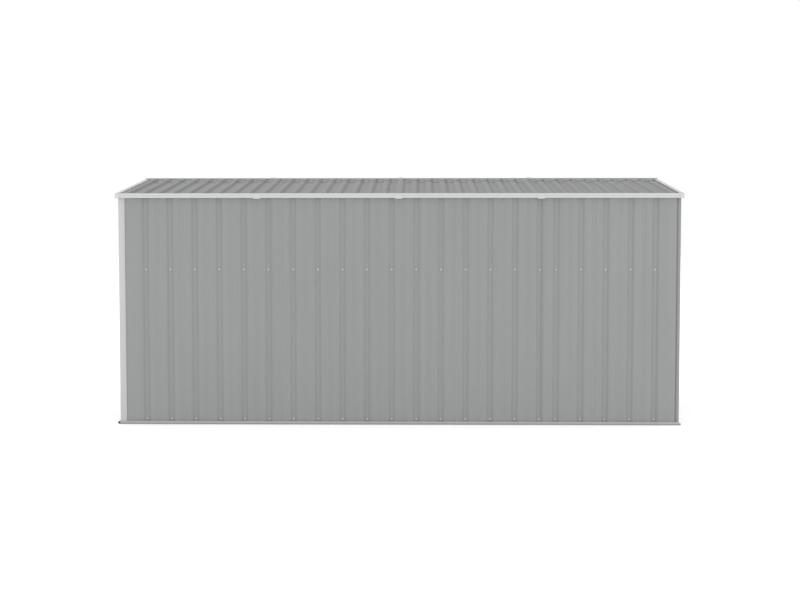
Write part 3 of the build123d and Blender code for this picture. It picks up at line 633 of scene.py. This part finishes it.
def makeFoldedSheetTree():
    tree, given, out = newTree("foldedSheet", [
        ("Fold Radius", "Float", 0.003), ("Fold Steps", "Int", 3), ("Run Length", "Float", 1.0),
        ("Crisp Angle", "Float", 0.6), ("Material", "Material", None)])
    section = addNode(tree, "GeometryNodeMeshToCurve", {"Mesh": given["Geometry"]}).outputs[0]
    rounded = addNode(tree, "GeometryNodeFilletCurve", {
        "Curve": section, "Count": given["Fold Steps"], "Radius": given["Fold Radius"],
        "Limit Radius": True}, mode="POLY").outputs[0]
    cap = addNode(tree, "GeometryNodeFillCurve", {"Curve": rounded}, mode="TRIANGLES").outputs[0]
    run = addNode(tree, "ShaderNodeCombineXYZ", {"Z": given["Run Length"]}).outputs[0]
    walls = addNode(tree, "GeometryNodeExtrudeMesh", {"Mesh": cap, "Offset": run, "Individual": False},
                    mode="FACES").outputs["Mesh"]
    foot = addNode(tree, "GeometryNodeFlipFaces", {"Mesh": cap}).outputs[0]
    both = addNode(tree, "GeometryNodeJoinGeometry")
    tree.links.new(walls, both.inputs[0])
    tree.links.new(foot, both.inputs[0])
    closed = addNode(tree, "GeometryNodeMergeByDistance", {
        "Geometry": both.outputs[0], "Distance": samePlace})
    angle = addNode(tree, "GeometryNodeInputMeshEdgeAngle").outputs["Unsigned Angle"]
    isSoft = addNode(tree, "FunctionNodeCompare", {0: angle, 1: given["Crisp Angle"]},
                     operation="LESS_THAN")
    smooth = addNode(tree, "GeometryNodeSetShadeSmooth", {
        "Geometry": closed.outputs[0], "Shade Smooth": True})
    crisp = addNode(tree, "GeometryNodeSetShadeSmooth", {
        "Geometry": smooth.outputs[0], "Shade Smooth": isSoft.outputs[0]}, domain="EDGE")
    real = addNode(tree, "GeometryNodeRealizeInstances", {"Geometry": crisp.outputs[0]}).outputs[0]
    finish = addNode(tree, "GeometryNodeSetMaterial", {"Geometry": real, "Material": given["Material"]})
    tree.links.new(finish.outputs[0], out["Geometry"])
    tidyTree(tree)
    return tree


def sectionLoops(node, run):
    # Corner points of each solid's end face, in order round it, and how far the solid runs
    source = bmesh.new()
    source.from_mesh(node.data)
    bmesh.ops.remove_doubles(source, verts=source.verts, dist=samePlace)
    start = min(vert.co.dot(run) for vert in source.verts)
    length = max(vert.co.dot(run) for vert in source.verts) - start
    squareOn = 0.999  # cosine from which a face counts as square to the run
    # A list, because a set of faces would come in another order each run
    ends = [face for face in source.faces if face.normal.dot(run) < -squareOn]
    after = {}
    for face in ends:
        for loop in face.loops:
            others = [other for other in loop.edge.link_faces if other in ends]
            if len(others) == 1:
                after[loop.vert] = loop.link_loop_next.vert
    loops = []
    while after:
        first = next(iter(after))
        loop = [first.co.copy()]
        vert = after.pop(first)
        while vert is not first:
            loop.append(vert.co.copy())
            vert = after.pop(vert)
        loops.append(dropStraightPoints(loop))
    source.free()
    return loops, start, length


def dropStraightPoints(loop):
    straight = 0.99999  # cosine of a turn that is none
    kept = []
    for i, point in enumerate(loop):
        before = (point - loop[i - 1]).normalized()
        following = (loop[(i + 1) % len(loop)] - point).normalized()
        if before.dot(following) < straight:
            kept.append(point)
    return kept


def refoldNode(nodeName, run, across, bend):
    # Makes a node's sheet again with rounded folds, in the node's own place
    third = run.cross(across)
    loops, start, length = sectionLoops(nodes[nodeName], run)
    mesh = bpy.data.meshes.new(nodeName)
    points = []
    edges = []
    for loop in loops:
        base = len(points)
        points.extend((point.dot(across), point.dot(third), 0) for point in loop)
        edges.extend((base + i, base + (i + 1) % len(loop)) for i in range(len(loop)))
    mesh.from_pydata(points, edges, [])
    piece = linkObject(nodeName + ".sheet", mesh)
    growMesh(piece, foldedSheetTree, {
        "Fold Radius": bend["radius"], "Fold Steps": bend["steps"], "Run Length": length,
        "Crisp Angle": bend["crispAngle"], "Material": materialOf(nodeName)})
    place = Matrix((across, third, run)).transposed().to_4x4()
    place.translation = run * start
    piece.data.transform(place)
    shell = bmesh.new()
    shell.from_mesh(piece.data)
    bmesh.ops.recalc_face_normals(shell, faces=shell.faces)
    shell.to_mesh(piece.data)
    shell.free()
    finishPiece(piece)
    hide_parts(nodeName)
    return piece


def slopeOf(nodeName):
    # Direction up a roof sheet, from its largest flat
    normal = max(nodes[nodeName].data.polygons, key=lambda face: face.area).normal
    up = Vector((0, normal.z, -normal.y)).normalized()
    return up if up.z > 0 else -up


def surfaceOf(nodeNames):
    # One search tree for a few nodes, to find where a fixing seats
    points = []
    faces = []
    for name in nodeNames:
        mesh = nodes[name].data
        base = len(points)
        points.extend(vert.co.copy() for vert in mesh.vertices)
        faces.extend([base + i for i in face.vertices] for face in mesh.polygons)
    return BVHTree.FromPolygons(points, faces)


def grooveCentres(nodeNames, along, across):
    # Middle of each groove, from the corners of its floor on the sheets' inner side
    flatness = 0.0002  # how far off a corner of the floor may be
    centres = set()
    for name in nodeNames:
        corners = [vert.co for vert in nodes[name].data.vertices]
        inner = min(abs(corner[across]) for corner in corners)
        onFloor = [corner for corner in corners if abs(corner[across]) - inner < flatness]
        ends = sorted({round(corner[along], 4) for corner in onFloor})
        centres.update(round((low + high) / 2, 4) for low, high in zip(ends[::2], ends[1::2]))
    return sorted(centres)


xAxis = Vector((1, 0, 0))
yAxis = Vector((0, 1, 0))
zAxis = Vector((0, 0, 1))
longWallSheets = [f"{side}_wall_sheet_{i}" for side in ("near", "far") for i in range(1, 5)]
backWallSheets = ["back_wall_sheet_1", "back_wall_sheet_2"]
roofSheets = [f"{side}_roof_sheet_{i}" for side in ("near", "far") for i in range(1, 5)]
fixingSurfaces = {
    "nearWall": surfaceOf(longWallSheets[:4]), "farWall": surfaceOf(longWallSheets[4:]),
    "backWall": surfaceOf(backWallSheets), "doorEnd": surfaceOf(["door_side_panels"]),
    "roof": surfaceOf(roofSheets), "ridge": surfaceOf(["ridge_caps"]),
    "posts": surfaceOf(["door_corner_posts", "back_corner_posts"]),
    "verges": surfaceOf(["door_verge_trims", "back_verge_trims"]),
    "header": surfaceOf(["door_header"]), "jambs": surfaceOf(["door_jambs"]),
    "leaves": surfaceOf(["near_door_leaf", "far_door_leaf"]),
}
nearGrooves = grooveCentres(longWallSheets[:4], 0, 1)
farGrooves = grooveCentres(longWallSheets[4:], 0, 1)
backGrooves = grooveCentres(backWallSheets, 1, 0)
panelGrooves = grooveCentres(["door_side_panels"], 1, 0)
print("grooves:", len(nearGrooves), len(farGrooves), len(backGrooves), len(panelGrooves))

foldedSheetTree = makeFoldedSheetTree()
sheetBend = {"radius": 0.0028, "steps": 3, "crispAngle": 0.5}
trimBend = {"radius": 0.0020, "steps": 3, "crispAngle": 0.5}
for name in longWallSheets + backWallSheets + ["door_side_panels"]:
    refoldNode(name, zAxis, xAxis, sheetBend)
for name in roofSheets:
    refoldNode(name, slopeOf(name), xAxis, sheetBend)
for name in ("door_corner_posts", "back_corner_posts", "door_jambs"):
    refoldNode(name, zAxis, xAxis, trimBend)
print("sheets, posts and jambs folded")


# Fixings: a sealing washer, a steel washer and a head, set on points that know which way they face

def makeFixingTree():
    tree, given, out = newTree("fixing", [
        ("Seal Radius", "Float", 0.008), ("Seal Height", "Float", 0.001),
        ("Washer Radius", "Float", 0.007), ("Washer Height", "Float", 0.001),
        ("Head Radius", "Float", 0.0045), ("Head Height", "Float", 0.003),
        ("Head Sides", "Int", 6), ("Head Taper", "Float", 0.9), ("Seed", "Int", 1),
        ("Metal", "Material", None), ("Seal", "Material", None)])

    def disc(sides, low, high, height, lift):
        cone = addNode(tree, "GeometryNodeMeshCone", {
            "Vertices": sides, "Radius Top": high, "Radius Bottom": low, "Depth": height}, fill_type="NGON")
        raised = addNode(tree, "ShaderNodeCombineXYZ", {"Z": lift}).outputs[0]
        return addNode(tree, "GeometryNodeTransform", {
            "Geometry": cone.outputs["Mesh"], "Translation": raised})

    shape = {"sunk": 0.9, "sealTaper": 0.94, "washerTaper": 0.72, "roundSides": 16}
    metalBase = product(tree, given["Seal Height"], shape["sunk"])
    headBase = total(tree, metalBase, product(tree, given["Washer Height"], shape["sunk"]))
    sealTop = product(tree, given["Seal Radius"], shape["sealTaper"])
    washerTop = product(tree, given["Washer Radius"], shape["washerTaper"])
    headTop = product(tree, given["Head Radius"], given["Head Taper"])
    seal = disc(shape["roundSides"], given["Seal Radius"], sealTop, given["Seal Height"], 0.0)
    washer = disc(shape["roundSides"], given["Washer Radius"], washerTop, given["Washer Height"], metalBase)
    head = disc(given["Head Sides"], given["Head Radius"], headTop, given["Head Height"], headBase)
    marked = addNode(tree, "GeometryNodeStoreNamedAttribute", {
        "Geometry": seal.outputs[0], "Name": "isSeal", "Value": True}, data_type="BOOLEAN", domain="FACE")
    whole = addNode(tree, "GeometryNodeJoinGeometry")
    for part in (marked, washer, head):
        tree.links.new(part.outputs[0], whole.inputs[0])
    facing = addNode(tree, "GeometryNodeInputNamedAttribute", {"Name": "facing"}, data_type="FLOAT_VECTOR")
    upright = addNode(tree, "FunctionNodeAlignRotationToVector", {"Vector": facing.outputs[0]}, axis="Z")
    turn = addNode(tree, "FunctionNodeRandomValue", {2: 0.0, 3: math.tau, "Seed": given["Seed"]},
                   data_type="FLOAT")
    spin = addNode(tree, "ShaderNodeCombineXYZ", {"Z": turn.outputs[1]})
    turned = addNode(tree, "FunctionNodeRotateRotation", {
        "Rotation": upright.outputs[0], "Rotate By": spin.outputs[0]}, rotation_space="LOCAL")
    placed = addNode(tree, "GeometryNodeInstanceOnPoints", {
        "Points": given["Geometry"], "Instance": whole.outputs[0], "Rotation": turned.outputs[0]})
    real = addNode(tree, "GeometryNodeRealizeInstances", {"Geometry": placed.outputs[0]})
    metal = addNode(tree, "GeometryNodeSetMaterial", {
        "Geometry": real.outputs[0], "Material": given["Metal"]})
    isSeal = addNode(tree, "GeometryNodeInputNamedAttribute", {"Name": "isSeal"}, data_type="BOOLEAN")
    both = addNode(tree, "GeometryNodeSetMaterial", {
        "Geometry": metal.outputs[0], "Selection": isSeal.outputs[0], "Material": given["Seal"]})
    tree.links.new(both.outputs[0], out["Geometry"])
    tidyTree(tree)
    return tree


def spotsOn(surface, starts, direction):
    # Where rays from outside meet the surface, with the way each place faces
    spots = []
    for start in starts:
        place, normal = fixingSurfaces[surface].ray_cast(Vector(start), direction)[:2]
        if place is not None:
            spots.append((place, normal if normal.dot(direction) < 0 else -normal))
    return spots


def placeFixings(name, spots, look):
    mesh = bpy.data.meshes.new(name)
    mesh.from_pydata([place for place, normal in spots], [], [])
    facing = mesh.attributes.new("facing", "FLOAT_VECTOR", "POINT")
    for i, (place, normal) in enumerate(spots):
        facing.data[i].vector = normal
    piece = linkObject(name, mesh)
    growMesh(piece, fixingTree, look)
    finishPiece(piece)
    print(name + ":", len(spots), "fixings,", len(piece.data.polygons), "faces")


fixingTree = makeFixingTree()
sheetScrew = {
    "Seal Radius": 0.0088, "Seal Height": 0.0010, "Washer Radius": 0.0082, "Washer Height": 0.0012,
    "Head Radius": 0.0045, "Head Height": 0.0032, "Head Sides": 6, "Head Taper": 0.92, "Seed": 4,
    "Metal": screwZinc, "Seal": sealRubber,
}
# Roof screw heads take the lighter ridge paint, painted light so that their shaded sides do not read as
# dark dots
roofScrew = {**sheetScrew, "Seal Height": 0.0005, "Washer Height": 0.0008, "Head Height": 0.0022,
             "Metal": ridgeLightenedPaint, "Seal": roofPaint}  # low heads painted to match
paleRivet = {
    "Seal Radius": 0.0046, "Seal Height": 0.0003, "Washer Radius": 0.0045, "Washer Height": 0.0009,
    "Head Radius": 0.0030, "Head Height": 0.0005, "Head Sides": 12, "Head Taper": 0.6, "Seed": 9,
    "Metal": palePaint, "Seal": palePaint,
}
greyRivet = {**paleRivet, "Metal": greyPaint, "Seal": greyPaint}
screwRows = {"middle": 1.1035, "low": 0.0385}  # heights of the two rows on the walls
purlinRow = 0.7518                             # distance of the roof's row from the ridge
outside = 3.0                                  # start of a ray, well clear of the shed

wallHeights = list(screwRows.values())
wallSpots = spotsOn("nearWall", [(x, -outside, z) for x in nearGrooves for z in wallHeights], yAxis)
wallSpots += spotsOn("farWall", [(x, outside, z) for x in farGrooves for z in wallHeights], -yAxis)
wallSpots += spotsOn("backWall", [(outside, y, z) for y in backGrooves for z in wallHeights], -xAxis)
wallSpots += spotsOn("doorEnd", [(-outside, y, screwRows["low"]) for y in panelGrooves], xAxis)
placeFixings("wall.screws", wallSpots, sheetScrew)

ribPlaces = [i * ribs["pitch"] for i in range(-ribs["outermost"], ribs["outermost"] + 1)]
roofStarts = [(x, side * purlinRow, outside) for x in ribPlaces for side in (-1, 1)]
placeFixings("roof.screws", spotsOn("roof", roofStarts, -zAxis), roofScrew)

ridgeRow = {"fromRidge": 0.098, "everyRib": 3, "firstRib": 1}
ridgePlaces = [ribPlaces[i] for i in range(len(ribPlaces))
               if (abs(i - ribs["outermost"]) - ridgeRow["firstRib"]) % ridgeRow["everyRib"] == 0]
ridgeStarts = [(x, side * ridgeRow["fromRidge"], outside) for x in ridgePlaces for side in (-1, 1)]
placeFixings("ridge.rivets", spotsOn("ridge", ridgeStarts, -zAxis), greyRivet)

postRows = {"heights": (0.12, 0.62, 1.12, 1.50), "fromCorner": 0.020}
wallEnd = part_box("door_corner_posts")
postY = -wallEnd[0].y - postRows["fromCorner"]
postStarts = [(-outside, side * postY, z) for side in (-1, 1) for z in postRows["heights"]]
vergeRow = {"fromEnd": 0.016, "places": (0.20, 0.55, 0.90)}
vergeX = -cadBox[0][0] - vergeRow["fromEnd"]
vergeStarts = [(end * vergeX, side * y, outside) for end in (-1, 1) for side in (-1, 1)
               for y in vergeRow["places"]]
headerRow = {"height": 1.570, "spacing": 0.30, "count": 7}
headerMiddle = (headerRow["count"] - 1) / 2
headerStarts = [(-outside, (i - headerMiddle) * headerRow["spacing"], headerRow["height"])
                for i in range(headerRow["count"])]
jambRow = {"fromMiddle": 0.522, "heights": (0.12, 0.62, 1.12, 1.45)}
jambStarts = [(-outside, side * jambRow["fromMiddle"], z) for side in (-1, 1) for z in jambRow["heights"]]
leafRow = {"across": (0.020, 0.520), "heights": (0.022, 0.78, 1.50)}
leafStarts = [(-outside, side * y, z) for side in (-1, 1) for y in leafRow["across"]
              for z in leafRow["heights"]]
trimSpots = spotsOn("posts", postStarts, xAxis) + spotsOn("verges", vergeStarts, -zAxis)
for surface, starts in (("header", headerStarts), ("jambs", jambStarts), ("leaves", leafStarts)):
    trimSpots += spotsOn(surface, starts, xAxis)
placeFixings("trim.rivets", trimSpots, paleRivet)


# Stage: plain pale floor, soft studio light, camera at the photo's place

def makeFloor():
    look = {"colour": (0.90, 0.90, 0.90, 1), "glow": 0.36, "halfSize": 60.0,
            "roughness": 0.9, "specular": 0.1, "fibreScale": 0.6, "fibreShade": 0.99}
    mesh = bpy.data.meshes.new("floor")
    half = look["halfSize"]
    corners = [(-half, -half, 0), (half, -half, 0), (half, half, 0), (-half, half, 0)]
    mesh.from_pydata(corners, [], [(0, 1, 2, 3)])
    floor = linkObject("floor", mesh)
    material, tree, shader, place = startMaterial("palePaper", look)
    fibre = noise(tree, place, look["fibreScale"], detail=2.0)
    shaded = [channel * look["fibreShade"] for channel in look["colour"][:3]] + [1]
    colour = mixColour(tree, fibre, look["colour"], shaded)
    tree.links.new(colour, shader.inputs["Base Color"])
    shader.inputs["Emission Color"].default_value = look["colour"]
    shader.inputs["Emission Strength"].default_value = look["glow"]
    tidyTree(tree)
    mesh.materials.append(material)


def makeLight(name, look):
    light = bpy.data.lights.new(name, "AREA")
    light.shape = "RECTANGLE"
    light.size, light.size_y = look["size"]
    light.energy = look["power"]
    light.color = look["colour"]
    lamp = linkObject(name, light)
    lamp.location = look["place"]
    aim = Vector(look["target"]) - Vector(look["place"])
    lamp.rotation_euler = aim.to_track_quat("-Z", "Y").to_euler()


def makeCamera():
    # Fitted to the photo's roof, wall and base lines; its pixels are those of an 800 wide image
    look = {"place": (0.144, -9.878, 1.364), "down": 3.073, "turn": 0.873,
            "focalPixels": 1257.8, "imageWidth": 800, "sensorWidth": 36.0, "seesTo": 200.0}
    camera = bpy.data.cameras.new("camera")
    camera.sensor_fit = "HORIZONTAL"
    camera.sensor_width = look["sensorWidth"]
    camera.lens = look["focalPixels"] * camera.sensor_width / look["imageWidth"]
    camera.clip_end = look["seesTo"]
    view = linkObject("camera", camera)
    view.location = look["place"]
    view.rotation_euler = (math.radians(90 - look["down"]), 0, math.radians(look["turn"]))
    bpy.context.scene.camera = view


def makeWorld():
    look = {"colour": (1.0, 1.0, 1.0, 1), "strength": 1.0}
    world = bpy.data.worlds.new("studio")
    world.use_nodes = True
    background = world.node_tree.nodes["Background"]
    background.inputs["Color"].default_value = look["colour"]
    background.inputs["Strength"].default_value = look["strength"]
    bpy.context.scene.world = world


makeFloor()
for side, name, power in ((-1, "leftBox", 125.0), (1, "rightBox", 150.0)):
    makeLight(name, {"place": (side * 6.5, -7.5, 1.2), "target": (side * 0.8, 0, 0.8), "size": (3.5, 2.2),
                     "power": power, "colour": (1.0, 0.998, 0.995)})
makeCamera()
makeWorld()
bpy.context.scene.view_settings.view_transform = "Standard"
bpy.context.scene.view_settings.look = "None"
print("stage, light and camera set")
